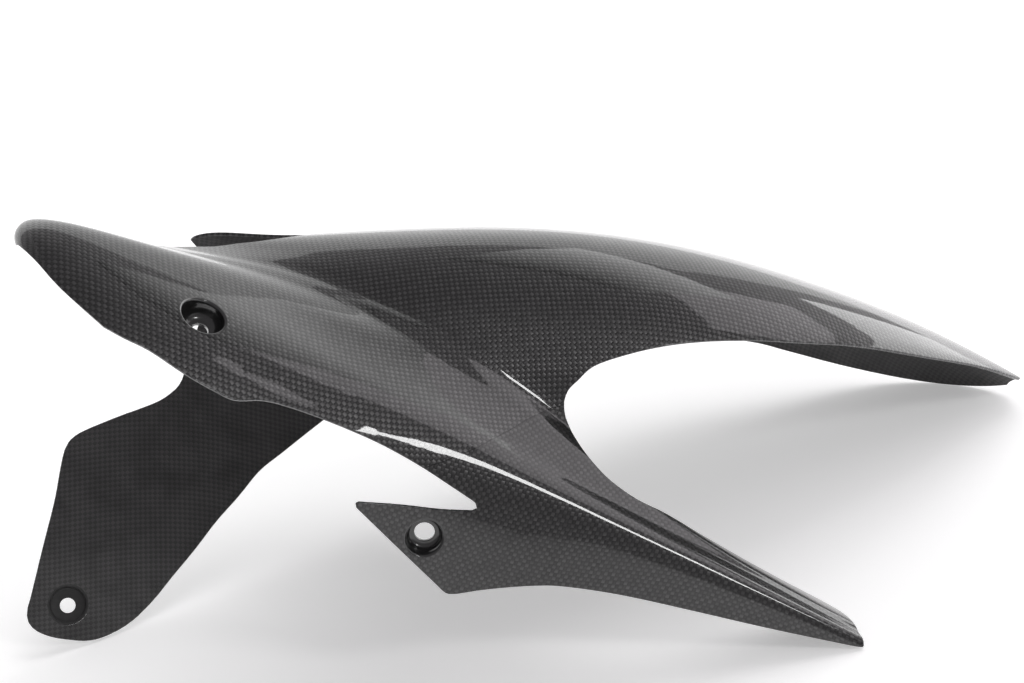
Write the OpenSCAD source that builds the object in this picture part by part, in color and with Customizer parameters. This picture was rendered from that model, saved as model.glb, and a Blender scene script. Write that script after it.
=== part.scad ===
// Rear fender of a motorcycle with its chain guard and side bracket, moulded as one skin.
// It is drawn as it sits over the wheel: x runs rearwards, y to the bracket side, z up.
// Then it is laid down on its three low points, the way it comes to rest on a table.

/* [Skin] */
// Thickness of the moulded skin
wall = 2; // [1.5:0.1:2.6]
// Half the width of the arch over the tyre
arch_half_w = 76; // [70:1:84]
// Height of the crest above the guard's rear tip
crest_h = 229; // [222:1:240]
// Distance from the nose to the tail's tip
body_len = 580; // [560:1:610]
// Distance from the nose to the chain guard's rear tip
guard_reach = 412; // [395:1:440]
// How far outboard of the wheel's middle plane the guard's ridge starts
guard_out = 110; // [106:1:116]

/* [Bolt seats] */
// Bore for the bolt in the spar
spar_bore_d = 8.4; // [6:0.1:10]
// Inner diameter of the spar's sunk seat
spar_seat_d = 20; // [17:0.5:22]
// Depth of the spar's sunk seat
spar_seat_depth = 9; // [6:0.5:11]
// Bore for the bolt in the guard's front tab
tab_bore_d = 10; // [6:0.1:11]
// Inner diameter of the tab's sunk seat
tab_seat_d = 17; // [15:0.5:19]
// Depth of the tab's sunk seat
tab_seat_depth = 5; // [4:0.5:7]
// Bore for the bolt in the bracket's foot
foot_bore_d = 8.4; // [6:0.1:10]
// Inner diameter of the foot's sunk seat
foot_seat_d = 19; // [16:0.5:21]
// Depth of the foot's sunk seat
foot_seat_depth = 4; // [3.5:0.5:6]

/* [Mesh] */
// Steps along the skin
along_n = 56; // [40:1:60]
// Steps around the skin
around_n = 46; // [40:1:50]

/* [Hidden] */
apex_u = 272;
outline_steps = 4;
trim_side = 220;
trim_top = 270;

// Stations of the tail and of the guard, as shares of the way from the cut-out's apex
function tail_u(k) = apex_u + k * (body_len - apex_u);
function guard_u(k) = apex_u + k * (guard_reach - apex_u);

// Guide lines of the skin from the nose to the rear, in order around it.
near_hem = [
    [50, -80, 164], [36, -104, 164], [32, -134, 148], [64, -140, 112], [110, -128, 76],
    [160, -92, 36], [220, 20 - guard_out, 8], [guard_u(0.34), 10 - guard_out, -10],
    [guard_u(1.1), -12 - guard_out, -30],
];
near_low = [
    [24, -78, 188], [4, -104, 188], [10, -131, 179], [60, -137, 148], [120, -131, 118],
    [180, -114, 82], [240, 8 - guard_out, 46], [guard_u(0.41), 2 - guard_out, 20],
    [guard_u(1.13), -16 - guard_out, -14],
];
near_side = [
    [10, -73, 203], [-10, -98, 203], [3, -124, 197], [60, -122, 172], [120, -118, 146],
    [180, -118, 112], [240, -4 - guard_out, 81], [guard_u(0.41), -8 - guard_out, 39],
    [guard_u(1.09), -19 - guard_out, -4],
];
ridge = [
    [6, -72, 211], [-7, -90, 212], [9, -108, 211], [60, -102, 192], [120, -98, 166],
    [180, -102, 133], [240, -guard_out, 92], [guard_u(0.41), -6 - guard_out, 46],
    [guard_u(1.07), -17 - guard_out, -2],
];
ridge_top = [
    [10, -72, 215], [1, -84, 216], [16, -94, 216], [64, -88, 202], [125, -80, 180],
    [185, -92, 146], [245, 9 - guard_out, 97], [guard_u(0.43), 1 - guard_out, 49],
    [guard_u(1.06), -12 - guard_out, 1],
];
guard_top = [
    [14, -72, 214], [11, -78, 214], [24, -82, 213], [70, -74, 202], [130, -62, 189],
    [190, -82, 160], [250, -12 - arch_half_w, 116], [guard_u(0.34), 5 - guard_out, 62],
    [guard_u(0.71), -2 - guard_out, 29], [guard_u(1.06), -10 - guard_out, 4],
];
guard_crease = [
    [15, -71, 214], [15, -75, 214], [30, -78, 212], [75, -69, 202], [132, -57, 192],
    [191, -80, 163], [253, -10 - arch_half_w, 121], [guard_u(0.34), 9 - guard_out, 65],
    [guard_u(0.71), 2 - guard_out, 33], [guard_u(1.06), -7 - guard_out, 6],
];
guard_flange = [
    [17, -69, 213], [20, -72, 213], [37, -73, 211], [80, -64, 202], [135, -52, 195],
    [192, -78, 167], [256, -7 - arch_half_w, 127], [guard_u(0.34), 26 - guard_out, 69],
    [guard_u(0.71), 20 - guard_out, 38], [guard_u(1.06), 8 - guard_out, 11],
];
flange_hem = [
    [18, -68, 213], [25, -69, 213], [43, -69, 210], [85, -59, 202], [137, -47, 197],
    [193, -76, 170], [259, -4 - arch_half_w, 132], [guard_u(0.34), 40 - guard_out, 72],
    [guard_u(0.71), 34 - guard_out, 41], [guard_u(1.06), 22 - guard_out, 14],
];
flank_low = [
    [20, -66, 212], [30, -66, 212], [50, -64, 209], [90, -54, 202], [140, -42, 200],
    [195, 2 - arch_half_w, 174], [262, -2 - arch_half_w, 138], [tail_u(0.22), -16 - arch_half_w, 140],
    [tail_u(0.545), -4 - arch_half_w, 144], [tail_u(0.87), -36, 143], [tail_u(0.994), -4, 138],
];
flank_mid = [
    [20, -50, 212], [40, -50, 212], [80, -42, 208], [130, -30, 208], [190, 12 - arch_half_w, 192],
    [262, -arch_half_w, crest_h - 53], [tail_u(0.22), -12 - arch_half_w, crest_h - 57],
    [tail_u(0.545), 10 - arch_half_w, crest_h - 61], [tail_u(0.87), -26, crest_h - 78],
    [tail_u(0.994), -3, 140],
];
near_shoulder = [
    [20, -30, 214], [60, -30, 214], [110, -22, 214], [170, -22, crest_h - 11],
    [220, 30 - arch_half_w, crest_h - 14], [280, 26 - arch_half_w, crest_h - 12],
    [345, 24 - arch_half_w, crest_h - 20], [tail_u(0.545), 34 - arch_half_w, crest_h - 40],
    [tail_u(0.84), -18, crest_h - 68], [tail_u(0.994), -2, 141],
];
crest = [
    [20, 0, 218], [60, 0, 218], [120, 0, 218], [180, 0, crest_h - 6], [240, 0, crest_h + 1],
    [300, 0, crest_h], [370, 0, crest_h - 7], [tail_u(0.545), 0, crest_h - 26],
    [tail_u(0.805), 0, crest_h - 55], [tail_u(0.994), 0, 141],
];
far_shoulder = [
    [20, 42, 226], [60, 46, 227], [120, 46, crest_h - 1], [180, 42, crest_h - 5],
    [240, arch_half_w - 30, crest_h - 10], [300, arch_half_w - 26, crest_h - 11],
    [370, arch_half_w - 26, crest_h - 22], [tail_u(0.545), arch_half_w - 34, crest_h - 38],
    [tail_u(0.84), 26, crest_h - 67], [tail_u(0.994), 2, 141],
];
far_flank = [
    [20, 72, 240], [60, 76, 243], [110, 76, 240], [170, 72, 212], [240, arch_half_w, crest_h - 39],
    [300, arch_half_w + 6, crest_h - 43], [370, arch_half_w + 6, crest_h - 47],
    [tail_u(0.545), arch_half_w - 8, crest_h - 51], [tail_u(0.87), 46, crest_h - 76],
    [tail_u(0.994), 8, 140],
];
far_wall = [
    [-10, 63, 156], [40, 68, 172], [90, 76, 188], [140, 76, 176], [200, arch_half_w, 160],
    [300, arch_half_w + 8, 152], [370, arch_half_w + 8, 160], [tail_u(0.545), arch_half_w + 2, 162],
    [tail_u(0.87), 61, 143], [tail_u(0.994), 12, 138],
];
far_low = [
    [-20, 63, 60], [20, 65, 66], [60, 68, 80], [100, 71, 100], [150, 73, 120],
    [220, arch_half_w + 2, 130], [300, arch_half_w + 8, 140], [tail_u(0.545), arch_half_w + 4, 150],
    [tail_u(0.87), 65, 138], [tail_u(0.994), 14, 136],
];
far_foot = [
    [-20, 56, -12], [20, 56, -16], [60, 57, -12], [110, 62, 14], [150, 69, 54],
    [220, arch_half_w - 2, 100], [300, arch_half_w + 6, 120], [tail_u(0.545), arch_half_w + 6, 140],
    [tail_u(0.87), 67, 132], [tail_u(0.994), 14, 134],
];
guides = [
    near_hem, near_low, near_side, ridge, ridge_top, guard_top, guard_crease, guard_flange,
    flange_hem, flank_low, flank_mid, near_shoulder, crest, far_shoulder, far_flank,
    far_wall, far_low, far_foot,
];

// Side view of the near half: the cut-out's edge, the guard, its tab and the spar's lower edge
tail_edge = [
    [tail_u(1.02), 141], [tail_u(0.974), 142], [tail_u(0.873), 147], [tail_u(0.727), 151],
    [tail_u(0.571), 156], [tail_u(0.451), 157], [tail_u(0.341), 158], [tail_u(0.244), 157],
    [tail_u(0.166), 154], [302, 149], [288, 144], [280, 137], [275, 132], [273, 126],
    [273.5, 119], [276, 112], [279, 103], [283.5, 95], [291.5, 85.5], [guard_u(0.23), 76],
    [guard_u(0.34), 68.5], [guard_u(0.48), 57], [guard_u(0.63), 45.5], [guard_u(0.79), 33],
    [guard_u(0.91), 24], [guard_u(0.99), 17], [guard_u(1.01), 10], [guard_u(1.01), 4],
];
guard_edge = [
    [guard_u(1.01), -1], [guard_u(0.96), 0], [guard_u(0.66), 10], [guard_u(0.41), 19],
    [guard_u(0.15), 28], [265, 33], [249, 34], [227, 33], [210, 31],
];
tab_corner = [[210, 31], [205, 31.5], [200, 36]];
tab_tip = [[160, 73], [157, 76], [159, 77.5]];
tab_edge = [[159, 77.5], [181, 75.5], [200, 73], [216, 72]];
notch_end = [[216, 72], [218.5, 73.5], [217, 76]];
spar_edge = [
    [217, 76], [205, 84], [188, 95], [168, 106], [145, 116], [125, 123], [112, 126],
    [99, 126], [89, 130.5], [76, 138], [60, 149], [48, 155], [39, 160],
];
spar_front = [[39, 160], [20, 178], [8, 193], [-4, 206]];

// Side view of the far half: the arch's hidden edge, the bracket and the spike above it
far_arch_edge = [
    [tail_u(1.02), 140], [tail_u(0.977), 139], [tail_u(0.919), 141], [tail_u(0.841), 146],
    [tail_u(0.724), 155], [tail_u(0.617), 164], [tail_u(0.539), 170], [400, 174], [355, 175],
    [305, 170], [258, 159], [215, 145], [174, 124],
];
bracket_rear_edge = [
    [174, 124], [162, 115], [149, 105], [136, 95], [124, 81], [111, 67], [99, 52],
    [86, 37], [74, 23], [60, 11], [43, 4], [27, 5], [16, 8], [9, 13], [7, 20], [9, 28],
];
bracket_front_edge = [[9, 28], [16, 57], [22, 81], [26, 103], [29, 112], [34, 117], [42, 121]];
bracket_top_edge = [[42, 121], [57, 127], [76, 134], [85, 139], [92, 146], [95, 156]];
spike_tip = [95, 231];

// Plan view of the notch in the arch's front edge, between the spar and the spike
notch_near_edge = [
    [63, -80], [73, -62], [86, -50], [98, -43], [111, -35], [123, -30], [140, -22],
    [159, -11], [174, -4], [181, 2],
];
notch_far_edge = [[181, 2], [178, 9], [164, 22], [149, 34], [133, 45], [115, 57], [92, 73]];

// Bolt seats: the middle of each seat's rim on the skin, and the way its bolt points outwards
spar_seat_at = [86, -114, 166];
spar_seat_out = [0.1, -0.82, 0.56];
tab_seat_at = [193, -51 - guard_out / 2, 60];
tab_seat_out = [-0.2, -0.88, -0.43];
foot_seat_at = [29, 60, 24];
foot_seat_out = [0, -0.985, 0.17];

// The three points that the laid down fender stands on, in the drawn frame
rest_guard = [guard_u(1.01), -16.3 - guard_out, -1];
rest_foot = [47, 60.7, 5];
rest_tail = [tail_u(0.902), arch_half_w - 33.4, 141.8];
rest_shift = [-258.3, 19.8, 0];

// Point at x on a clamped cubic B-spline through the control list p, by de Boor's rule
function knot(i, m) = min(max(i - 3, 0), m);
function mix(a, b, k) = (1 - k) * a + k * b;
function raise(d, r, k, x, m) =
    [for (j = [0:len(d) - 2])
        let (i = k - 3 + r + j, a = knot(i, m), b = knot(i + 4 - r, m))
        mix(d[j], d[j + 1], (x - a) / (b - a))];
function bspline(p, s) =
    let (m = len(p) - 3, x = min(s * m, m - 1e-6), k = floor(x) + 3)
    raise(raise(raise([for (j = [0:3]) p[k - 3 + j]], 1, k, x, m), 2, k, x, m), 3, k, x, m)[0];

// Curve through its points, by Catmull and Rom's rule, without the last point
function through(p) =
    [for (i = [0:len(p) - 2], j = [0:outline_steps - 1])
        let (
            t = j / outline_steps,
            a = i > 0 ? (p[i + 1] - p[i - 1]) / 2 : p[1] - p[0],
            b = i < len(p) - 2 ? (p[i + 2] - p[i]) / 2 : p[i + 1] - p[i]
        )
        p[i] * (1 + t * t * (2 * t - 3)) + p[i + 1] * t * t * (3 - 2 * t)
            + a * t * (1 - t) * (1 - t) + b * t * t * (t - 1)];

// The skin's outer face, its normals and the closed skin of one thickness
function face_grid() =
    let (lines = [for (i = [0:along_n]) [for (g = guides) bspline(g, i / along_n)]])
    [for (line = lines) [for (j = [0:around_n]) bspline(line, j / around_n)]];
function unit(v) = v / norm(v);
function outwards(g, i, j) =
    let (
        along = g[min(i + 1, along_n)][j] - g[max(i - 1, 0)][j],
        around = g[i][min(j + 1, around_n)] - g[i][max(j - 1, 0)]
    )
    unit(cross(around, along));

module skin() {
    outer = face_grid();
    row = around_n + 1;
    count = (along_n + 1) * row;
    inner = [for (i = [0:along_n]) [for (j = [0:around_n]) outer[i][j] - wall * outwards(outer, i, j)]];
    points = concat([for (r = outer) each r], [for (r = inner) each r]);
    function at(i, j) = i * row + j;
    faces = [
        for (i = [0:along_n - 1], j = [0:around_n - 1])
            each [
                [at(i, j), at(i + 1, j), at(i + 1, j + 1)],
                [at(i, j), at(i + 1, j + 1), at(i, j + 1)],
                [count + at(i, j), count + at(i + 1, j + 1), count + at(i + 1, j)],
                [count + at(i, j), count + at(i, j + 1), count + at(i + 1, j + 1)],
            ],
        for (i = [0:along_n - 1])
            each [
                [at(i, 0), count + at(i, 0), count + at(i + 1, 0)],
                [at(i, 0), count + at(i + 1, 0), at(i + 1, 0)],
                [at(i, around_n), count + at(i + 1, around_n), count + at(i, around_n)],
                [at(i, around_n), at(i + 1, around_n), count + at(i + 1, around_n)],
            ],
        for (j = [0:around_n - 1])
            each [
                [at(0, j), count + at(0, j + 1), count + at(0, j)],
                [at(0, j), at(0, j + 1), count + at(0, j + 1)],
                [at(along_n, j), count + at(along_n, j), count + at(along_n, j + 1)],
                [at(along_n, j), count + at(along_n, j + 1), at(along_n, j + 1)],
            ],
    ];
    polyhedron(points, faces);
}

// Side outline stretched across one half of the part, from y = 0 to the given side
module side_trim(outline, y_side) {
    translate([0, max(y_side, 0), 0])
        rotate([90, 0, 0])
            linear_extrude(abs(y_side)) polygon(outline);
}

module near_trim() {
    side_trim(
        concat(
            [[-40, 205], [-40, trim_top], [body_len + 40, trim_top], [body_len + 40, 141]],
            through(tail_edge), through(guard_edge), through(tab_corner), through(tab_tip),
            through(tab_edge), through(notch_end), through(spar_edge), through(spar_front)
        ),
        -trim_side
    );
}

module far_trim() {
    side_trim(
        concat(
            [[body_len + 40, 141]],
            through(far_arch_edge), through(bracket_rear_edge), through(bracket_front_edge),
            through(bracket_top_edge),
            [spike_tip, [95, trim_top], [body_len + 40, trim_top]]
        ),
        trim_side
    );
}

module front_notch() {
    translate([0, 0, 180])
        linear_extrude(trim_top)
            polygon(concat(
                [[-60, -70], [40, -70]], through(notch_near_edge), through(notch_far_edge),
                [[94, 100], [-60, 100]]
            ));
}

module aimed(at, out) {
    translate(at)
        rotate([0, acos(out[2] / norm(out)), atan2(out[1], out[0])])
            children();
}

// Dished cup that a bolt head sinks into, its rim at z = 0 and its floor below
module seat(d, depth, bore_d) {
    flare = 3;
    rotate_extrude($fn = 96)
        polygon([
            [bore_d / 2, -depth], [d / 2 - flare, -depth], [d / 2, flare - depth],
            [d / 2 + 1, 0], [d / 2 + 1 + wall, 0],
            [d / 2 + wall, -depth], [d / 2 - flare + 1, -depth - wall],
            [bore_d / 2, -depth - wall],
        ]);
}

module seat_hole(d) {
    translate([0, 0, -12]) cylinder(d = d + 2, h = 30, $fn = 96);
}

module fender_as_fitted() {
    difference() {
        intersection() {
            skin();
            union() {
                near_trim();
                far_trim();
            }
        }
        front_notch();
        aimed(spar_seat_at, spar_seat_out) seat_hole(spar_seat_d);
        aimed(tab_seat_at, tab_seat_out) seat_hole(tab_seat_d);
        aimed(foot_seat_at, foot_seat_out) seat_hole(foot_seat_d);
    }
    aimed(spar_seat_at, spar_seat_out) seat(spar_seat_d, spar_seat_depth, spar_bore_d);
    aimed(tab_seat_at, tab_seat_out) seat(tab_seat_d, tab_seat_depth, tab_bore_d);
    aimed(foot_seat_at, foot_seat_out) seat(foot_seat_d, foot_seat_depth, foot_bore_d);
}

// Turn that lays the three low points on the table, with the tail pointing along +x
up = unit(cross(rest_guard - rest_foot, rest_tail - rest_foot));
ahead = unit([1, 0, 0] - up[0] * up);
across = cross(up, ahead);

module fender() {
    color([0.13, 0.13, 0.14])
        translate(rest_shift)
            multmatrix([
                [ahead[0], ahead[1], ahead[2], 0],
                [across[0], across[1], across[2], 0],
                [up[0], up[1], up[2], 0],
            ])
                translate(-rest_foot)
                    fender_as_fitted();
}

fender();
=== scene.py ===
import bpy
import mathutils
import numpy as np
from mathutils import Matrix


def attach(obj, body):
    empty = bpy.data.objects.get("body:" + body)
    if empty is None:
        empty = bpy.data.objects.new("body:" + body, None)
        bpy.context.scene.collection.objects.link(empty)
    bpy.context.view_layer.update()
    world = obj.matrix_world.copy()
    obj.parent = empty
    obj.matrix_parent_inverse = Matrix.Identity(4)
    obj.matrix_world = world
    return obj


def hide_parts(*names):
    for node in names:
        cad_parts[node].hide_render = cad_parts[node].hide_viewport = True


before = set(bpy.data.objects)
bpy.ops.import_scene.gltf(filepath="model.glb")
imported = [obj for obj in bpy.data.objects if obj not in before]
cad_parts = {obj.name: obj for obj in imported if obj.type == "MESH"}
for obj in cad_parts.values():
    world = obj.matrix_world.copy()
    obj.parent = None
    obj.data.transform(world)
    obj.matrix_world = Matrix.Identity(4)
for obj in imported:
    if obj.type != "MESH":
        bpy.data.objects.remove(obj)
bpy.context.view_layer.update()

# Sizes in millimetres, in the frame of the fitted fender: x rearwards, y to the bracket side, z up.
WALL = 2.0
ARCH = 76.0
CREST = 229.0
BODY = 580.0
REACH = 412.0
OUT = 110.0
APEX = 272.0

# Steps along and around the skin. The full ones stay under 200,000 triangles, and they keep the
# narrow strip between the tab's bolt seat and its edge, which the quick ones lose.
FULL_GRID = (266, 270)

# Radius that rounds the skin's free edge, the one at an edge hidden by a bolt seat, and how far
# along its axis a bolt seat cuts the skin.
EDGE = 0.5
HOLE_EDGE = 0.04
SEAT_REACH = 14.0


def tail_u(k):
    """Station at the share k of the way from the cut-out's apex to the tail's tip."""
    return APEX + k * (BODY - APEX)


def guard_u(k):
    """Station at the share k of the way from the cut-out's apex to the guard's tip."""
    return APEX + k * (REACH - APEX)


# Guide lines of the skin, each from the nose to the rear, in order around it.
GUIDES = [
    [(50, -80, 164), (36, -104, 164), (32, -134, 148), (64, -140, 112), (110, -128, 76),
     (160, -92, 36), (220, 20 - OUT, 8), (guard_u(0.34), 10 - OUT, -10),
     (guard_u(1.1), -12 - OUT, -30)],
    [(24, -78, 188), (6, -104, 188), (11, -131, 179), (60, -137, 148), (120, -131, 118),
     (180, -114, 82), (240, 8 - OUT, 46), (guard_u(0.41), 2 - OUT, 20),
     (guard_u(1.13), -16 - OUT, -14)],
    [(10, -73, 203), (-6, -98, 203), (5, -124, 197), (60, -122, 172), (120, -118, 146),
     (180, -118, 112), (240, -4 - OUT, 81), (guard_u(0.41), -8 - OUT, 39),
     (guard_u(1.09), -19 - OUT, -4)],
    [(6, -72, 211), (-3, -90, 211), (11, -108, 211), (60, -102, 192), (120, -98, 166),
     (180, -102, 133), (240, -OUT, 92), (guard_u(0.41), -6 - OUT, 46),
     (guard_u(1.07), -17 - OUT, -2)],
    [(10, -72, 215), (4, -84, 215), (16, -94, 216), (64, -88, 202), (125, -80, 180),
     (185, -92, 146), (245, 9 - OUT, 97), (guard_u(0.43), 1 - OUT, 49),
     (guard_u(1.06), -12 - OUT, 1)],
    [(14, -72, 214), (11, -78, 214), (24, -82, 213), (70, -74, 202), (130, -62, 189),
     (190, -82, 160), (250, -12 - ARCH, 116), (guard_u(0.34), 5 - OUT, 62),
     (guard_u(0.71), -2 - OUT, 29), (guard_u(1.06), -10 - OUT, 4)],
    [(15, -71, 214), (15, -75, 214), (30, -78, 212), (75, -69, 202), (132, -57, 192),
     (191, -80, 163), (253, -10 - ARCH, 121), (guard_u(0.34), 9 - OUT, 65),
     (guard_u(0.71), 2 - OUT, 33), (guard_u(1.06), -7 - OUT, 6)],
    [(17, -69, 213), (20, -72, 213), (37, -73, 211), (80, -64, 202), (135, -52, 195),
     (192, -78, 167), (256, -7 - ARCH, 127), (guard_u(0.34), 26 - OUT, 69),
     (guard_u(0.71), 20 - OUT, 38), (guard_u(1.06), 8 - OUT, 11)],
    [(18, -68, 213), (25, -69, 213), (43, -69, 210), (85, -59, 202), (137, -47, 197),
     (193, -76, 170), (259, -4 - ARCH, 132), (guard_u(0.34), 40 - OUT, 72),
     (guard_u(0.71), 34 - OUT, 41), (guard_u(1.06), 22 - OUT, 14)],
    [(20, -66, 212), (30, -66, 212), (50, -64, 209), (90, -54, 202), (140, -42, 200),
     (195, 2 - ARCH, 174), (262, -2 - ARCH, 138), (tail_u(0.22), -16 - ARCH, 140),
     (tail_u(0.545), -4 - ARCH, 144), (tail_u(0.87), -36, 143), (tail_u(0.994), -4, 138)],
    [(20, -50, 212), (40, -50, 212), (80, -42, 208), (130, -30, 208), (190, 12 - ARCH, 192),
     (262, -ARCH, CREST - 53), (tail_u(0.22), -12 - ARCH, CREST - 57),
     (tail_u(0.545), 10 - ARCH, CREST - 61), (tail_u(0.87), -26, CREST - 78),
     (tail_u(0.994), -3, 140)],
    [(20, -30, 214), (60, -30, 214), (110, -22, 214), (170, -22, CREST - 11),
     (220, 30 - ARCH, CREST - 14), (280, 26 - ARCH, CREST - 12),
     (345, 24 - ARCH, CREST - 20), (tail_u(0.545), 34 - ARCH, CREST - 40),
     (tail_u(0.84), -18, CREST - 68), (tail_u(0.994), -2, 141)],
    [(20, 0, 218), (60, 0, 218), (120, 0, 218), (180, 0, CREST - 6), (240, 0, CREST + 1),
     (300, 0, CREST), (370, 0, CREST - 7), (tail_u(0.545), 0, CREST - 26),
     (tail_u(0.805), 0, CREST - 55), (tail_u(0.994), 0, 141)],
    [(20, 42, 226), (60, 46, 227), (120, 46, CREST - 1), (180, 42, CREST - 5),
     (240, ARCH - 30, CREST - 10), (300, ARCH - 26, CREST - 11),
     (370, ARCH - 26, CREST - 22), (tail_u(0.545), ARCH - 34, CREST - 38),
     (tail_u(0.84), 26, CREST - 67), (tail_u(0.994), 2, 141)],
    [(20, 72, 237), (60, 76, 239), (110, 76, 236), (170, 72, 211), (240, ARCH, CREST - 39),
     (300, ARCH + 6, CREST - 43), (370, ARCH + 6, CREST - 47),
     (tail_u(0.545), ARCH - 8, CREST - 51), (tail_u(0.87), 46, CREST - 76),
     (tail_u(0.994), 8, 140)],
    [(-10, 63, 156), (40, 68, 172), (90, 76, 188), (140, 76, 176), (200, ARCH, 160),
     (300, ARCH + 8, 152), (370, ARCH + 8, 160), (tail_u(0.545), ARCH + 2, 162),
     (tail_u(0.87), 61, 143), (tail_u(0.994), 12, 138)],
    [(-20, 63, 60), (20, 65, 66), (60, 68, 80), (100, 71, 100), (150, 73, 120),
     (220, ARCH + 2, 130), (300, ARCH + 8, 140), (tail_u(0.545), ARCH + 4, 150),
     (tail_u(0.87), 65, 138), (tail_u(0.994), 14, 136)],
    [(-20, 56, -12), (20, 56, -16), (60, 57, -12), (110, 62, 14), (150, 69, 54),
     (220, ARCH - 2, 100), (300, ARCH + 6, 120), (tail_u(0.545), ARCH + 6, 140),
     (tail_u(0.87), 67, 132), (tail_u(0.994), 14, 134)],
]

# Side view of the near half, then of the far half, then the notch seen from above.
TAIL_EDGE = [
    (tail_u(1.02), 141), (tail_u(0.974), 142), (tail_u(0.873), 147), (tail_u(0.727), 151),
    (tail_u(0.571), 156), (tail_u(0.451), 157), (tail_u(0.341), 158), (tail_u(0.244), 157),
    (tail_u(0.166), 154), (302, 149), (288, 144), (280, 137), (275, 132), (273, 126),
    (273.5, 119), (276, 112), (279, 103), (283.5, 95), (291.5, 85.5), (guard_u(0.23), 76),
    (guard_u(0.34), 68.5), (guard_u(0.48), 57), (guard_u(0.63), 45.5), (guard_u(0.79), 33),
    (guard_u(0.91), 24), (guard_u(0.99), 17), (guard_u(1.01), 10), (guard_u(1.01), 4),
]
GUARD_EDGE = [
    (guard_u(1.01), -1), (guard_u(0.96), 0), (guard_u(0.66), 10), (guard_u(0.41), 19),
    (guard_u(0.15), 28), (265, 33), (249, 34), (227, 33), (210, 31),
]
TAB_CORNER = [(210, 31), (205, 31.5), (200, 36)]
TAB_TIP = [(160, 73), (157, 76), (159, 77.5)]
TAB_EDGE = [(159, 77.5), (181, 75.5), (200, 73), (216, 72)]
NOTCH_END = [(216, 72), (218.5, 73.5), (217, 76)]
SPAR_EDGE = [
    (217, 76), (205, 84), (188, 95), (168, 106), (145, 116), (125, 123), (112, 126),
    (99, 126), (89, 130.5), (76, 138), (60, 149), (48, 155), (39, 160),
]
SPAR_FRONT = [(39, 160), (20, 178), (8, 193), (-4, 206)]
FAR_ARCH_EDGE = [
    (tail_u(1.02), 140), (tail_u(0.977), 139), (tail_u(0.919), 141), (tail_u(0.841), 146),
    (tail_u(0.724), 155), (tail_u(0.617), 164), (tail_u(0.539), 170), (400, 174), (355, 175),
    (305, 170), (258, 159), (215, 145), (174, 124),
]
BRACKET_REAR = [
    (174, 124), (162, 115), (149, 105), (136, 95), (124, 81), (111, 67), (99, 52),
    (86, 37), (74, 23), (60, 11), (43, 4), (27, 5), (16, 8), (9, 13), (7, 20), (9, 28),
]
BRACKET_FRONT = [(9, 28), (16, 57), (22, 81), (26, 103), (29, 112), (34, 117), (42, 121)]
BRACKET_TOP = [(42, 121), (57, 127), (76, 134), (85, 139), (92, 146), (95, 156)]
NOTCH_NEAR = [
    (63, -80), (73, -62), (86, -50), (98, -43), (111, -35), (123, -30), (140, -22),
    (159, -11), (174, -4), (181, 2),
]
NOTCH_FAR = [(181, 2), (178, 9), (164, 22), (149, 34), (133, 45), (115, 57), (92, 73)]
NOTCH_FLOOR = 180.0


def through(points):
    """Curve through its points by Catmull and Rom's rule, four steps a span, last point left out."""
    p = np.array(points, float)
    slope = np.empty_like(p)
    slope[1:-1] = (p[2:] - p[:-2]) / 2
    slope[0] = p[1] - p[0]
    slope[-1] = p[-1] - p[-2]
    t = (np.arange(4) / 4)[None, :, None]
    start, end = p[:-1, None], p[1:, None]
    a, b = slope[:-1, None], slope[1:, None]
    curve = (start * (1 + t * t * (2 * t - 3)) + end * t * t * (3 - 2 * t)
             + a * t * (1 - t) ** 2 + b * t * t * (t - 1))
    return curve.reshape(-1, 2)


NEAR_OUTLINE = np.concatenate([
    [(-40, 205), (-40, 270), (BODY + 40, 270), (BODY + 40, 141)],
    through(TAIL_EDGE), through(GUARD_EDGE), through(TAB_CORNER), through(TAB_TIP),
    through(TAB_EDGE), through(NOTCH_END), through(SPAR_EDGE), through(SPAR_FRONT),
])
FAR_OUTLINE = np.concatenate([
    [(BODY + 40, 141)], through(FAR_ARCH_EDGE), through(BRACKET_REAR), through(BRACKET_FRONT),
    through(BRACKET_TOP), [(95, 156), (113, 212), (95, 231), (95, 270), (BODY + 40, 270)],
])
NOTCH_OUTLINE = np.concatenate([
    [(-60, -70), (40, -70)], through(NOTCH_NEAR), through(NOTCH_FAR), [(94, 100), (-60, 100)],
])

# Bolt seats: middle of the rim, outward axis, inner diameter, depth, bore and the dish's own edge.
SEATS = [
    ("spar_seat", (86, -114, 166), (0.1, -0.82, 0.56), 20.0, 9.0, 8.4, 1.9),
    ("tab_seat", (193, -51 - OUT / 2, 60), (-0.2, -0.88, -0.43), 17.0, 5.0, 10.0, 1.6),
    ("foot_seat", (29, 60, 24), (0, -0.985, 0.17), 19.0, 4.0, 8.4, 1.6),
]

# The three points that the laid down fender stands on.
REST_GUARD = np.array([guard_u(1.01), -16.3 - OUT, -1])
REST_FOOT = np.array([47, 60.7, 5])
REST_TAIL = np.array([tail_u(0.902), ARCH - 33.4, 141.8])
REST_SHIFT = np.array([-258.3, 19.8, 0])


def unit(v):
    """Vectors divided by their own length."""
    return v / np.maximum(np.linalg.norm(v, axis=-1, keepdims=True), 1e-12)


REST_UP = unit(np.cross(REST_GUARD - REST_FOOT, REST_TAIL - REST_FOOT))
REST_AHEAD = unit(np.array([1.0, 0, 0]) - REST_UP[0] * REST_UP)
REST_ACROSS = np.cross(REST_UP, REST_AHEAD)
REST_TURN = np.array([REST_AHEAD, REST_ACROSS, REST_UP])


def at_rest(p):
    """Fitted points in millimetres turned onto the three low points, in metres."""
    return ((p - REST_FOOT) @ REST_TURN.T + REST_SHIFT) / 1000


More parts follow.
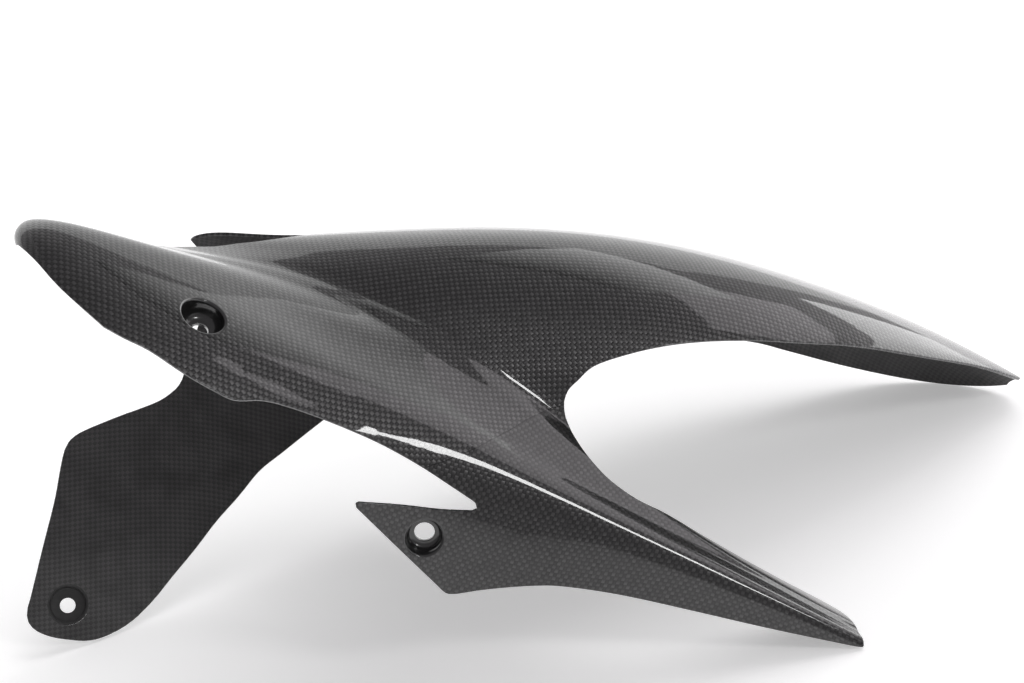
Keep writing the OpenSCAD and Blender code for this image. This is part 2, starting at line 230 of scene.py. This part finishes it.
def basis(count, x):
    """Weights of a clamped uniform cubic B-spline of count points at x in 0 to 1, by Cox and de Boor."""
    spans = count - 3
    x = np.clip(x, 0, 1) * spans
    x = np.minimum(x, spans - 1e-9)[:, None]
    knots = np.clip(np.arange(count + 4) - 3, 0, spans).astype(float)
    w = ((x >= knots[:-1]) & (x < knots[1:])).astype(float)
    for k in (1, 2, 3):
        low = np.maximum(knots[k:-1] - knots[:-k - 1], 1e-9)
        high = np.maximum(knots[k + 1:] - knots[1:-k], 1e-9)
        w = (x - knots[:-k - 1]) / low * w[:, :-1] + (knots[k + 1:] - x) / high * w[:, 1:]
    return w


GROOVE = through([(80, 146), (92, 144), (106, 140), (125, 132), (143, 123), (166, 111), (190, 98)])
GROOVE_DEPTH = 1.3
GROOVE_WIDTH = 4.5
GROOVE_INWARDS = unit(np.array([0.1, -0.7, 0.7]))


def away_from(p, line):
    """Distance in the plane from points to an open line, the least over its straight segments."""
    best = np.full(len(p), 1e9)
    for a, b in zip(line[:-1], line[1:]):
        d = b - a
        k = np.clip(((p - a) @ d) / (d @ d), 0, 1)
        best = np.minimum(best, np.hypot(p[:, 0] - a[0] - k * d[0], p[:, 1] - a[1] - k * d[1]))
    return best


def face(s, t):
    """Inner face: each guide is a B-spline in s, the guides are blended by a B-spline in t, and a
    groove with a bell-shaped section is pressed in along the spar's lower lip."""
    lines = np.stack([basis(len(g), s) @ np.array(g, float) for g in GUIDES], 1)
    p = np.einsum("ng,ngk->nk", basis(len(GUIDES), t), lines)
    near = (p[:, 1] < -60) & (p[:, 0] > 60) & (p[:, 0] < 230)
    q = p[near][:, [0, 2]]
    depth = GROOVE_DEPTH * np.exp(-(away_from(q, GROOVE) / GROOVE_WIDTH) ** 2)
    depth *= np.clip((q[:, 0] - 84) / 18, 0, 1) * np.clip((168 - q[:, 0]) / 44, 0, 1)
    p[near] -= depth[:, None] * GROOVE_INWARDS
    return p


def outwards(s, t):
    """Unit normal away from the tyre: the cross product of small differences along and around."""
    h = 2e-4
    along = face(np.minimum(s + h, 1), t) - face(np.maximum(s - h, 0), t)
    around = face(s, np.minimum(t + h, 1)) - face(s, np.maximum(t - h, 0))
    return unit(np.cross(along, around))


def shell(s, t):
    """Outer face: the inner face moved one wall along its normals."""
    return face(s, t) + WALL * outwards(s, t)


def inside(p, outline):
    """Signed distance in the plane from a closed outline, positive inside it, by crossing number."""
    x, y = p[:, 0], p[:, 1]
    best = np.full(len(p), 1e9)
    odd = np.zeros(len(p), bool)
    for a, b in zip(outline, np.roll(outline, -1, 0)):
        d = b - a
        k = np.clip(((x - a[0]) * d[0] + (y - a[1]) * d[1]) / max(d @ d, 1e-9), 0, 1)
        best = np.minimum(best, np.hypot(x - a[0] - k * d[0], y - a[1] - k * d[1]))
        if a[1] != b[1]:
            odd ^= ((a[1] > y) != (b[1] > y)) & (x < a[0] + (y - a[1]) * d[0] / d[1])
    return np.where(odd, best, -best)


def seat_frame(middle, out):
    """Middle of a bolt seat with its two cross axes and its outward axis as rows."""
    z = unit(np.array(out, float))
    x = unit(np.cross((0, 0, 1.0), z))
    return np.array(middle, float), np.array([x, np.cross(z, x), z])


def kept(p):
    """Signed distance in millimetres to the skin's trimmed edge, positive where the skin is kept: the
    least of the side view's outline, the notch, the nose's flap and a cylinder for each bolt seat."""
    side = p[:, [0, 2]]
    f = np.where(p[:, 1] < 0, inside(side, NEAR_OUTLINE), inside(side, FAR_OUTLINE))
    notch = np.maximum(-inside(p[:, :2], NOTCH_OUTLINE), NOTCH_FLOOR - p[:, 2])
    x, y, z = p.T
    outer = -112 + 20 * np.clip((z - 193) / 8, 0, 1)
    rear = 46 + 20 * np.clip((180 - z) / 4, 0, 1)
    flap = np.max([outer - y, y + 68, x - rear, z - 208 + 0.4 * x], 0)
    f = np.minimum(np.minimum(f, notch), flap) - EDGE
    for name, middle, out, d, depth, bore, lip in SEATS:
        m, axes = seat_frame(middle, out)
        q = (p - m) @ axes.T
        ring = np.hypot(q[:, 0], q[:, 1]) - (d / 2 + lip) - HOLE_EDGE
        f = np.minimum(f, np.maximum(ring, np.abs(q[:, 2]) - SEAT_REACH))
    return f


def along_weave(p, crest_line):
    """Cloth coordinates of a grid of points: the station, and the arc length around at that station,
    summed row by row from the crest with the row before read at the same station."""
    u = p[:, :, 0]
    arc = np.zeros(u.shape)
    for step in (1, -1):
        j = crest_line
        while 0 <= j + step < u.shape[1]:
            order = np.maximum.accumulate(u[:, j]) + np.arange(len(u)) * 1e-6
            at = u[:, j + step]
            dy = p[:, j + step, 1] - np.interp(at, order, p[:, j, 1])
            dz = p[:, j + step, 2] - np.interp(at, order, p[:, j, 2])
            arc[:, j + step] = np.interp(at, order, arc[:, j]) + step * np.hypot(dy, dz)
            j += step
    return u, arc


SEAM = through([(160, 80), (180, 89), (194, 94), (209, 99), (225, 105.5), (240, 112), (255, 119),
                (274, 125), (300, 128), (330, 130)])


def seam_side(p):
    """Distance to the line where two pieces of cloth meet on the near side, positive on the guard and
    far below zero off the near side."""
    q = p[:, [0, 2]]
    below = q[:, 1] < np.interp(q[:, 0], SEAM[:, 0], SEAM[:, 1])
    d = away_from(q, SEAM)
    d = np.where(below & (q[:, 0] > 150), d, -d)
    return np.where(p[:, 1] < -30, d, -99.0)


def mesh_object(name, verts, faces_flat, sizes, normals, fields):
    """Mesh piece from flat arrays of corners and face sizes, with its own normals and fields."""
    mesh = bpy.data.meshes.new(name)
    mesh.vertices.add(len(verts))
    mesh.vertices.foreach_set("co", verts.astype(np.float32).ravel())
    mesh.loops.add(len(faces_flat))
    mesh.loops.foreach_set("vertex_index", faces_flat.astype(np.int32))
    mesh.polygons.add(len(sizes))
    starts = np.concatenate([[0], np.cumsum(sizes)[:-1]])
    mesh.polygons.foreach_set("loop_start", starts.astype(np.int32))
    mesh.polygons.foreach_set("use_smooth", np.ones(len(sizes), bool))
    mesh.update(calc_edges=True)
    for key, values in fields.items():
        kind = "FLOAT_VECTOR" if values.ndim == 2 else "FLOAT"
        field = mesh.attributes.new(key, kind, "POINT")
        field.data.foreach_set("vector" if values.ndim == 2 else "value",
                               values.astype(np.float32).ravel())
    mesh.normals_split_custom_set_from_vertices(normals.astype(np.float32).tolist())
    piece = bpy.data.objects.new(name, mesh)
    bpy.context.scene.collection.objects.link(piece)
    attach(piece, "root")
    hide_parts("fender")
    return piece


def even_steps(count):
    """Steps around the skin that follow the mean arc length, with a share for the tight bends."""
    samples = 24
    fine = np.linspace(0, 1, 601)
    s, t = np.meshgrid(np.linspace(0.15, 0.9, samples), fine, indexing="ij")
    p = face(s.ravel(), t.ravel()).reshape(samples, len(fine), 3)
    arc = np.linalg.norm(np.diff(p, axis=1), axis=2).mean(0) + 0.28
    total = np.concatenate([[0], np.cumsum(arc)])
    return np.interp(np.linspace(0, total[-1], count), total, fine)


def trimmed_skin(rows, columns):
    """The skin: a grid over both parameters cut where kept() is zero, each cell becoming the polygon
    of its kept corners and edge crossings, then a second sheet one wall inwards and a rounded rim."""
    s_line = np.linspace(0, 1, rows)
    t_line = even_steps(columns)
    s, t = (a.ravel() for a in np.meshgrid(s_line, t_line, indexing="ij"))
    p = shell(s, t)
    f = kept(p)
    crest_line = int(np.argmin(np.abs(p.reshape(rows, columns, 3)[rows // 2, :, 1])))
    u, arc = along_weave(p.reshape(rows, columns, 3), crest_line)
    cloth = np.stack([u.ravel(), arc.ravel(), seam_side(p)], 1)
    index = np.arange(rows * columns).reshape(rows, columns)
    good = f >= 0

    def crossings(a, b):
        """Where kept() is zero on the grid edges from a to b, by three steps of false position."""
        k = np.clip(f[a] / (f[a] - f[b]), 0.03, 0.97)
        low, high = np.zeros(len(a)), np.ones(len(a))
        f_low, f_high = f[a].copy(), f[b].copy()
        for step in range(3):
            q = shell(s[a] + k * (s[b] - s[a]), t[a] + k * (t[b] - t[a]))
            g = kept(q)
            same = (g >= 0) == (f_low >= 0)
            low, f_low = np.where(same, k, low), np.where(same, g, f_low)
            high, f_high = np.where(same, high, k), np.where(same, f_high, g)
            k = low + (high - low) * np.clip(f_low / (f_low - f_high), 0.05, 0.95)
        k = np.clip(k, 0.04, 0.96)
        return (s[a] + k * (s[b] - s[a]), t[a] + k * (t[b] - t[a]),
                cloth[a] + k[:, None] * (cloth[b] - cloth[a]))

    ids = np.full((rows, columns), -1)
    ids.ravel()[good] = np.arange(good.sum())
    total = int(good.sum())
    good_grid = good.reshape(rows, columns)
    across_s = np.full((rows - 1, columns), -1)
    cut = good_grid[1:] != good_grid[:-1]
    a1, b1 = index[:-1][cut], index[1:][cut]
    across_s[cut] = total + np.arange(len(a1))
    total += len(a1)
    across_t = np.full((rows, columns - 1), -1)
    cut = good_grid[:, 1:] != good_grid[:, :-1]
    a2, b2 = index[:, :-1][cut], index[:, 1:][cut]
    across_t[cut] = total + np.arange(len(a2))
    total += len(a2)
    s1, t1, c1 = crossings(a1, b1)
    s2, t2, c2 = crossings(a2, b2)
    sv = np.concatenate([s[good], s1, s2])
    tv = np.concatenate([t[good], t1, t2])
    cloth = np.concatenate([cloth[good], c1, c2])
    around_cell = np.stack([
        ids[:-1, :-1], across_s[:, :-1], ids[1:, :-1], across_t[1:],
        ids[1:, 1:], across_s[:, 1:], ids[:-1, 1:], across_t[:-1],
    ], -1).reshape(-1, 8)
    real = around_cell >= 0
    around_cell, real = around_cell[real.sum(1) >= 3], real[real.sum(1) >= 3]
    sizes = real.sum(1)
    outer_faces = around_cell[real]
    inner_faces = around_cell[:, ::-1][real[:, ::-1]]
    n = outwards(sv, tv)
    p = face(sv, tv) + WALL * n

    starts = np.concatenate([[0], np.cumsum(sizes)[:-1]])
    after = np.arange(len(outer_faces)) + 1
    after[np.cumsum(sizes) - 1] = starts
    a, b = outer_faces, outer_faces[after]
    open_edge = ~np.isin(a * total + b, b * total + a)
    a, b = a[open_edge], b[open_edge]
    rim = np.unique(np.concatenate([a, b]))
    place = np.full(total, -1)
    place[rim] = np.arange(len(rim))
    d = p[b] - p[a]
    turned = np.cross(d, n[a] + n[b])
    out = np.zeros((len(rim), 3))
    np.add.at(out, place[a], turned)
    np.add.at(out, place[b], turned)
    nr = n[rim]
    out = unit(out - (out * nr).sum(1)[:, None] * nr)
    r = np.full(len(rim), EDGE)
    for name, middle, axis, size, depth, bore, lip in SEATS:
        m, axes = seat_frame(middle, axis)
        q = (p[rim] - m) @ axes.T
        here = np.abs(np.hypot(q[:, 0], q[:, 1]) - size / 2 - lip) < 0.5
        r[here & (np.abs(q[:, 2]) < SEAT_REACH)] = HOLE_EDGE
    r = r[:, None]
    # Each ring of the rim: its turn in degrees from the outer face, and 1 on the inner sheet's side.
    turns = [(45, 0), (90, 0), (90, 1), (135, 1)]
    verts, normals, fields = [p, p - WALL * n], [n, -n], [cloth, cloth]
    inner = [np.zeros(total), np.ones(total)]
    for degrees, low in turns:
        c, h = np.cos(np.radians(degrees)), np.sin(np.radians(degrees))
        drop = (WALL - 2 * r) * low + r * (1 - c)
        verts.append(p[rim] + out * r * h - nr * drop)
        normals.append(unit(nr * c + out * h))
        fields.append(cloth[rim])
        inner.append(np.zeros(len(rim)))
    rings = [a, *[2 * total + k * len(rim) + place[a] for k in range(len(turns))], total + a]
    nexts = [b, *[2 * total + k * len(rim) + place[b] for k in range(len(turns))], total + b]
    strips = [np.stack([nexts[k], rings[k], rings[k + 1], nexts[k + 1]], 1)
              for k in range(len(rings) - 1)]
    strips = np.concatenate(strips)
    flat = np.concatenate([outer_faces, inner_faces + total, strips.ravel()])
    counts = np.concatenate([sizes, sizes, np.full(len(strips), 4)])
    return mesh_object(
        "fender_skin", at_rest(np.concatenate(verts)), flat, counts,
        np.concatenate(normals) @ REST_TURN.T,
        {"cloth": np.concatenate(fields), "inner": np.concatenate(inner)},
    )


def on_skin(surface, points_2d, middle, axes, start):
    """Parameters of the surface's points that lie over points of a seat's cross plane, by Newton."""
    s, t = start
    h = 1e-4
    for step in range(14):
        q = ((surface(s, t) - middle) @ axes.T)[:, :2] - points_2d
        ds = (((surface(s + h, t) - middle) @ axes.T)[:, :2] - points_2d - q) / h
        dt = (((surface(s, t + h) - middle) @ axes.T)[:, :2] - points_2d - q) / h
        det = ds[:, 0] * dt[:, 1] - ds[:, 1] * dt[:, 0]
        det = np.where(np.abs(det) < 1e-6, 1e-6, det)
        s = s - np.clip((q[:, 0] * dt[:, 1] - q[:, 1] * dt[:, 0]) / det, -0.02, 0.02)
        t = t - np.clip((ds[:, 0] * q[:, 1] - ds[:, 1] * q[:, 0]) / det, -0.02, 0.02)
        s, t = np.clip(s, 0.001, 0.999), np.clip(t, 0.001, 0.999)
    return s, t


# Sizes of a bolt seat: how far its bend reaches below the rim, the step that finds the skin's slope,
# the flat ring around the bore and the rounding of the bore's edge.
BEND_DROP = 1.6
SLOPE_STEP = 0.4
SEAT_FLAT = 0.8
BORE_EDGE = 0.3


def bolt_seat(name, middle, out, d, depth, bore, lip, around=112):
    """A sunk seat: rings of one profile turned about the bolt's axis, whose first rings leave the
    skin along its own slope and bend down into the wall by a quadratic Bezier curve."""
    m, axes = seat_frame(middle, out)
    coarse = np.linspace(0, 1, 161)
    s, t = (a.ravel() for a in np.meshgrid(coarse, coarse))
    q = (face(s, t) - m) @ axes.T
    cost = np.hypot(q[:, 0], q[:, 1]) + np.abs(q[:, 2]) * 0.3
    first = int(np.argmin(cost))
    sign = np.sign(outwards(s[first:first + 1], t[first:first + 1])[0] @ axes[2])
    surface = shell if sign > 0 else face
    angle = np.arange(around) / around * 2 * np.pi
    ring = np.stack([np.cos(angle), np.sin(angle)], 1)
    radius = d / 2 + lip
    here = (np.full(around, s[first]), np.full(around, t[first]))
    for share in (0.3, 0.65, 1.0):
        here = on_skin(surface, ring * radius * share, m, axes, here)
    edge = (surface(*here) - m) @ axes.T
    slant = sign * outwards(*here) @ axes.T
    beyond = on_skin(surface, ring * (radius + SLOPE_STEP), m, axes, here)
    slope = (((surface(*beyond) - m) @ axes.T)[:, 2] - edge[:, 2]) / SLOPE_STEP
    top = edge[:, 2]
    low = min(top.min() - BEND_DROP, -BEND_DROP)
    half, b, base = d / 2, bore / 2, -depth
    rows = []
    for k in np.linspace(0, 1, 9):
        knee = top - slope * (radius - half)
        rows.append(((1 - k) ** 2 * radius + (1 - (1 - k) ** 2) * half,
                     (1 - k) ** 2 * top + 2 * k * (1 - k) * knee + k * k * low))
    for k in np.radians(np.arange(10, 91, 10)):
        rows.append((b + SEAT_FLAT + (half - b - SEAT_FLAT) * np.cos(k),
                     np.full(around, low + (base - low) * np.sin(k))))
    for k in np.radians([0, 45, 90]):
        rows.append((b + BORE_EDGE * (1 - np.sin(k)),
                     np.full(around, base - BORE_EDGE * (1 - np.cos(k)))))
    under = base - WALL
    rows.append((b, np.full(around, under)))
    rows.append((half - 2, np.full(around, under)))
    rows.append((half + WALL * 0.6, np.full(around, under + 2)))
    foot = np.minimum(top - WALL * 0.7, low)
    rows.append((half + WALL * 0.6, np.maximum(foot - 1.0, under + 2.2)))
    rows.append((radius - 0.02, top - 1.2))
    rho = np.array([np.broadcast_to(r, (around,)) for r, h in rows])
    height = np.array([h for r, h in rows])
    p = np.stack([rho * ring[:, 0], rho * ring[:, 1], height], -1)
    count = len(rows)
    i, j = (a.ravel() for a in np.meshgrid(np.arange(count), np.arange(around), indexing="ij"))
    k, i2 = (j + 1) % around, (i + 1) % count
    quads = np.stack([i * around + j, i * around + k, i2 * around + k, i2 * around + j], 1)
    down = np.roll(p, -1, 0) - np.roll(p, 1, 0)
    side = np.roll(p, -1, 1) - np.roll(p, 1, 1)
    normals = unit(np.cross(side, down))
    normals[0] = slant
    verts = p.reshape(-1, 3) @ axes + m
    flat = normals.reshape(-1, 3) @ axes
    zero = np.zeros(len(verts))
    return mesh_object(name, at_rest(verts), quads.ravel(), np.full(len(quads), 4),
                       flat @ REST_TURN.T, {"cloth": np.zeros((len(verts), 3)), "inner": zero})


def add(tree, kind, inputs=(), **settings):
    """A shader node with its settings and inputs; an input that is a socket is linked."""
    node = tree.nodes.new(kind)
    for key, value in settings.items():
        setattr(node, key, value)
    for key, value in dict(inputs).items():
        if isinstance(value, bpy.types.NodeSocket):
            tree.links.new(value, node.inputs[key])
        else:
            node.inputs[key].default_value = value
    return node


def calc(tree, operation, *values):
    """Result of a math node."""
    return add(tree, "ShaderNodeMath", enumerate(values), operation=operation).outputs[0]


def blank(name):
    """An empty node material."""
    material = bpy.data.materials.new(name)
    material.use_nodes = True
    material.node_tree.nodes.clear()
    return material, material.node_tree


# Width of a tow in millimetres, and the cosine and sine of each cloth's slant to the skin's length.
TOW_PITCH = 1.94
MAIN_CLOTH = (0.707, 0.707)
GUARD_CLOTH = (0.292, 0.956)


def carbon_material():
    """Lacquered plain weave outside and bare resin inside. The attribute cloth gives each point's
    place on the cloth and its distance to the seam, and inner is 1 on the inner sheet."""
    material, tree = blank("carbon_skin")
    cloth = add(tree, "ShaderNodeAttribute", attribute_name="cloth").outputs["Vector"]
    inner = add(tree, "ShaderNodeAttribute", attribute_name="inner").outputs["Fac"]
    parts = add(tree, "ShaderNodeSeparateXYZ", {0: cloth}).outputs
    a, b, seam = parts[0], parts[1], parts[2]
    guard = calc(tree, "GREATER_THAN", seam, 0.0)
    cosine = calc(tree, "MULTIPLY_ADD", guard, GUARD_CLOTH[0] - MAIN_CLOTH[0], MAIN_CLOTH[0])
    sine = calc(tree, "MULTIPLY_ADD", guard, GUARD_CLOTH[1] - MAIN_CLOTH[1], MAIN_CLOTH[1])
    x = calc(tree, "ADD", calc(tree, "MULTIPLY", a, cosine), calc(tree, "MULTIPLY", b, sine))
    y = calc(tree, "SUBTRACT", calc(tree, "MULTIPLY", b, cosine), calc(tree, "MULTIPLY", a, sine))
    x = calc(tree, "DIVIDE", x, TOW_PITCH)
    y = calc(tree, "DIVIDE", y, TOW_PITCH)
    i, j = calc(tree, "FLOOR", x), calc(tree, "FLOOR", y)
    odd = calc(tree, "FLOORED_MODULO", calc(tree, "ADD", i, j), 2.0)
    fx = calc(tree, "MULTIPLY_ADD", calc(tree, "SUBTRACT", x, i), 2.0, -1.0)
    fy = calc(tree, "MULTIPLY_ADD", calc(tree, "SUBTRACT", y, j), 2.0, -1.0)
    fx2, fy2 = calc(tree, "MULTIPLY", fx, fx), calc(tree, "MULTIPLY", fy, fy)
    crown_x = calc(tree, "MULTIPLY", calc(tree, "SUBTRACT", 1.0, fy2),
                   calc(tree, "MULTIPLY_ADD", fx2, -0.45, 1.0))
    crown_y = calc(tree, "MULTIPLY", calc(tree, "SUBTRACT", 1.0, fx2),
                   calc(tree, "MULTIPLY_ADD", fy2, -0.45, 1.0))
    crown = add(tree, "ShaderNodeMix", {0: odd, 2: crown_x, 3: crown_y}).outputs[0]
    tow = add(tree, "ShaderNodeCombineXYZ", {0: i, 1: j, 2: odd}).outputs[0]
    luck = add(tree, "ShaderNodeTexWhiteNoise", {"Vector": tow}, noise_dimensions="3D").outputs[0]
    # One tow family is painted lighter than the other: a painted sheen standing for the light that
    # family's fibres reflect, painted weaker on the guard.
    painted_sheen_share = calc(tree, "MULTIPLY", odd, calc(tree, "MULTIPLY_ADD", guard, -0.4, 1.0))
    shade = calc(tree, "MULTIPLY_ADD", painted_sheen_share, 0.052, 0.036)
    shade = calc(tree, "MULTIPLY", shade, calc(tree, "MULTIPLY_ADD", luck, 0.35, 0.83))
    # Tow crowns are painted lighter and tow edges darker: painted highlight and painted shade on each
    # tow.
    shade = calc(tree, "MULTIPLY", shade, calc(tree, "MULTIPLY_ADD", crown, 0.5, 0.6))
    line = calc(tree, "LESS_THAN", calc(tree, "ABSOLUTE", seam), 0.3)
    shade = calc(tree, "MULTIPLY", shade, calc(tree, "MULTIPLY_ADD", line, -0.6, 1.0))
    place = add(tree, "ShaderNodeTexCoord").outputs["Object"]
    dust = add(tree, "ShaderNodeTexNoise", {"Vector": place, "Scale": 60.0, "Detail": 6.0}).outputs[0]
    dust = calc(tree, "SMOOTH_MIN", dust, 0.6, 0.1)
    bare = calc(tree, "MULTIPLY_ADD", dust, 0.08, 0.02)
    # On the bare inner sheet one tow family is painted lighter too, a faint painted sheen; the dust
    # noise above is real smudging.
    bare = calc(tree, "MULTIPLY", bare, calc(tree, "MULTIPLY_ADD", odd, 0.5, 0.8))
    shade = add(tree, "ShaderNodeMix", {0: inner, 2: shade, 3: bare}).outputs[0]
    colour = add(tree, "ShaderNodeCombineColor", {
        0: shade, 1: calc(tree, "MULTIPLY", shade, 0.985),
        2: calc(tree, "MULTIPLY", shade, 0.99)}).outputs[0]
    bump = add(tree, "ShaderNodeBump", {
        "Height": crown, "Distance": 0.00012,
        "Strength": calc(tree, "MULTIPLY_ADD", inner, -0.6, 1.0)}).outputs[0]
    peel = add(tree, "ShaderNodeTexNoise", {"Vector": place, "Scale": 95.0, "Detail": 1.0}).outputs[0]
    skin = add(tree, "ShaderNodeBump", {
        "Height": peel, "Distance": 0.0002, "Strength": 0.25}).outputs[0]
    surface = add(tree, "ShaderNodeBsdfPrincipled", {
        "Base Color": colour, "Metallic": calc(tree, "SUBTRACT", 1.0, inner),
        "Roughness": calc(tree, "MULTIPLY_ADD", inner, 0.2, 0.4), "Normal": bump,
        "Coat Weight": calc(tree, "SUBTRACT", 1.0, inner), "Coat Roughness": 0.04,
        "Coat IOR": 1.5, "Coat Normal": skin})
    add(tree, "ShaderNodeOutputMaterial", {0: surface.outputs[0]})
    return material


def plain_material(name, colour, roughness, coat):
    """One colour with a little unevenness, under a clear coat where coat is 1."""
    material, tree = blank(name)
    place = add(tree, "ShaderNodeTexCoord").outputs["Object"]
    grain = add(tree, "ShaderNodeTexNoise", {"Vector": place, "Scale": 400.0, "Detail": 3.0}).outputs[0]
    lift = calc(tree, "MULTIPLY_ADD", grain, colour * 0.8, colour * 0.6)
    shade = add(tree, "ShaderNodeCombineColor", {0: lift, 1: lift, 2: lift}).outputs[0]
    surface = add(tree, "ShaderNodeBsdfPrincipled", {
        "Base Color": shade, "Roughness": roughness, "Coat Weight": coat, "Coat Roughness": 0.03})
    add(tree, "ShaderNodeOutputMaterial", {0: surface.outputs[0]})
    return material


def glow_material(name, colour, strength, fade=0.0):
    """A plane that only shines, less towards its upper edge over the height fade."""
    material, tree = blank(name)
    place = add(tree, "ShaderNodeTexCoord").outputs["Object"]
    level = add(tree, "ShaderNodeSeparateXYZ", {0: place}).outputs[1]
    share = add(tree, "ShaderNodeMapRange", {
        0: level, 1: -fade, 2: fade + 1e-4, 3: strength, 4: 0.0 if fade else strength}).outputs[0]
    light = add(tree, "ShaderNodeEmission", {"Color": (*colour, 1), "Strength": share})
    add(tree, "ShaderNodeOutputMaterial", {0: light.outputs[0]})
    return material


skin = trimmed_skin(*FULL_GRID)
skin.data.materials.append(carbon_material())
gloss = plain_material("gloss_black", 0.012, 0.3, 1.0)
matt = plain_material("matt_black", 0.035, 0.55, 0.0)
for row in SEATS:
    seat = bolt_seat(*row)
    seat.data.materials.append(matt if seat.name == "foot_seat" else gloss)


def panel(name, middle, wide, high, facing, material):
    """A flat rectangle of the stage that faces a point."""
    mesh = bpy.data.meshes.new(name)
    mesh.from_pydata([(-wide / 2, -high / 2, 0), (wide / 2, -high / 2, 0), (wide / 2, high / 2, 0),
                      (-wide / 2, high / 2, 0)], [], [(0, 1, 2, 3)])
    piece = bpy.data.objects.new(name, mesh)
    bpy.context.scene.collection.objects.link(piece)
    piece.location = middle
    direction = mathutils.Vector(facing) - mathutils.Vector(middle)
    piece.rotation_euler = direction.to_track_quat("Z", "Y").to_euler()
    mesh.materials.append(material)
    return piece


def softbox(name, middle, size, radiance, facing):
    """A square area light of a given radiance that faces a point: its power is pi times its area
    times the radiance."""
    light = bpy.data.lights.new(name, "AREA")
    light.shape = "SQUARE"
    light.size = size
    light.energy = radiance * np.pi * size * size
    piece = bpy.data.objects.new(name, light)
    bpy.context.scene.collection.objects.link(piece)
    piece.location = middle
    direction = mathutils.Vector(facing) - mathutils.Vector(middle)
    piece.rotation_euler = direction.to_track_quat("-Z", "Y").to_euler()
    return piece


# The floor is a plain white one, lifted a little where the camera or a reflection sees it.
FLOOR_COLOUR = 0.93
FLOOR_LIFT = 0.33
FLOOR_WIDTH = 12.0
FLOOR_DROP = 0.0003

floor_material, tree = blank("floor")
white = add(tree, "ShaderNodeBsdfDiffuse", {"Color": (FLOOR_COLOUR, FLOOR_COLOUR, FLOOR_COLOUR, 1)})
path = add(tree, "ShaderNodeLightPath").outputs
seen = calc(tree, "ADD", calc(tree, "ADD", path["Is Camera Ray"], path["Is Glossy Ray"]),
            path["Is Transmission Ray"])
lift = calc(tree, "MULTIPLY", calc(tree, "MINIMUM", seen, 1.0), FLOOR_LIFT)
lit = add(tree, "ShaderNodeEmission", {"Color": (1, 1, 1, 1), "Strength": lift})
both = add(tree, "ShaderNodeAddShader", {0: white.outputs[0], 1: lit.outputs[0]})
add(tree, "ShaderNodeOutputMaterial", {0: both.outputs[0]})
panel("floor", (0, 0, -FLOOR_DROP), FLOOR_WIDTH, FLOOR_WIDTH, (0, 0, 1), floor_material)

# Cards that only shine: name, middle, width, height, point faced, colour, strength and fade.
CARDS = [
    ("backdrop", (-1.1, 2.0, 0.75), 5.8, 1.5, (-1.1, 0, 0.75), (1, 1, 1), 1.0, 0.0),
    ("side_wall", (2.4, 0.95, 0.45), 2.6, 0.9, (0, 0.95, 0.45), (1, 1, 1), 2.8, 0.0),
    ("card_tail", (1.0, 0.2, 0.8), 0.84, 0.54, (0.15, 0, 0.14), (1, 0.96, 0.99), 1.5, 0.0),
    ("card_spar", (0.33, 0.3, 0.55), 0.32, 0.3, (-0.15, -0.1, 0.18), (1, 1, 1), 2.4, 0.15),
]
for name, middle, wide, high, facing, colour, strength, fade in CARDS:
    panel(name, middle, wide, high, facing, glow_material(name, colour, strength, fade))

# The front one draws the line on the guard's ridge, and the one overhead lights floor and cloth.
softbox("softbox_front", (1.03, -1.17, 1.25), 0.3, 18.0, (0.1, -0.1, 0.06))
over = softbox("softbox_floor", (0.9, 1.3, 2.0), 1.8, 3.9, (0, 0, 0.1))
over.visible_glossy = False

world = bpy.data.worlds.new("studio")
world.use_nodes = True
tree = world.node_tree
tree.nodes.clear()
room = add(tree, "ShaderNodeBackground", {"Color": (0.32, 0.31, 0.32, 1), "Strength": 1.0})
add(tree, "ShaderNodeOutputWorld", {0: room.outputs[0]})
bpy.context.scene.world = world
bpy.context.scene.view_settings.view_transform = "Standard"

camera = bpy.data.objects.new("camera", bpy.data.cameras.new("camera"))
bpy.context.scene.collection.objects.link(camera)
camera.location = (-0.1565, -0.8594, 0.6206)
camera.rotation_euler = np.radians([60.717, 7.014, -13.459])
camera.data.lens = 66.797
camera.data.sensor_width = 36
camera.data.clip_start = 0.01
bpy.context.scene.camera = camera
